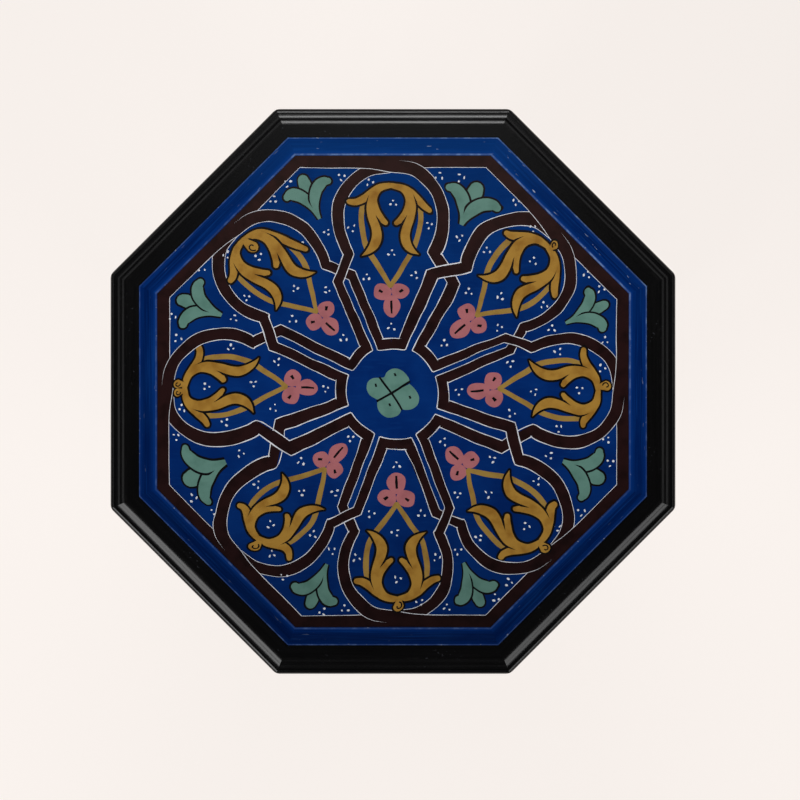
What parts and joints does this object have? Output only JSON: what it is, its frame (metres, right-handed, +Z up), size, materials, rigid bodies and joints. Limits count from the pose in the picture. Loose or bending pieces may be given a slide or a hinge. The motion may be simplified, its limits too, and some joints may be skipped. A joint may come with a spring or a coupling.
{
  "type": "octagonal side table",
  "caption": "Octagonal painted wooden side table with a moulded rim, a recessed painted top and a base of boards cut with pointed horseshoe arches.",
  "frame": {"origin": "on the floor under the middle of the table", "axes": "+Z up; +X and +Y square to two sides of the octagon, as right and up in the picture"},
  "size_m": [0.4, 0.4, 0.5],
  "materials": {
    "field_paint": "hand-painted, satin",
    "rim_paint": "black paint, semi-gloss",
    "cove_paint": "blue paint, semi-gloss",
    "base_paint": "black paint, satin",
    "raw_wood": "sawn softwood",
    "screw_steel": "zinc plated"
  },
  "bodies": {
    "root": {"top_panel": "field_paint", "rim_rail_e": "rim_paint", "rim_rail_ne": "rim_paint", "rim_rail_n": "rim_paint", "rim_rail_nw": "rim_paint", "rim_rail_w": "rim_paint", "rim_rail_sw": "rim_paint", "rim_rail_s": "rim_paint", "rim_rail_se": "rim_paint", "cove_moulding_e": "cove_paint", "cove_moulding_ne": "cove_paint", "cove_moulding_n": "cove_paint", "cove_moulding_nw": "cove_paint", "cove_moulding_w": "cove_paint", "cove_moulding_sw": "cove_paint", "cove_moulding_s": "cove_paint", "cove_moulding_se": "cove_paint", "mitre_keys": "raw_wood", "side_panel_e": "base_paint", "side_panel_ne": "base_paint", "side_panel_n": "base_paint", "side_panel_nw": "base_paint", "side_panel_w": "base_paint", "side_panel_sw": "base_paint", "side_panel_s": "base_paint", "side_panel_se": "base_paint", "corner_block_e_ne": "raw_wood", "corner_block_ne_n": "raw_wood", "corner_block_n_nw": "raw_wood", "corner_block_nw_w": "raw_wood", "corner_block_w_sw": "raw_wood", "corner_block_sw_s": "raw_wood", "corner_block_s_se": "raw_wood", "corner_block_se_e": "raw_wood", "top_cleat_e": "raw_wood", "top_cleat_ne": "raw_wood", "top_cleat_n": "raw_wood", "top_cleat_nw": "raw_wood", "top_cleat_w": "raw_wood", "top_cleat_sw": "raw_wood", "top_cleat_s": "raw_wood", "top_cleat_se": "raw_wood", "rim_screws": "screw_steel", "top_screws": "screw_steel", "cleat_screws": "screw_steel"}
  },
  "joints": []
}
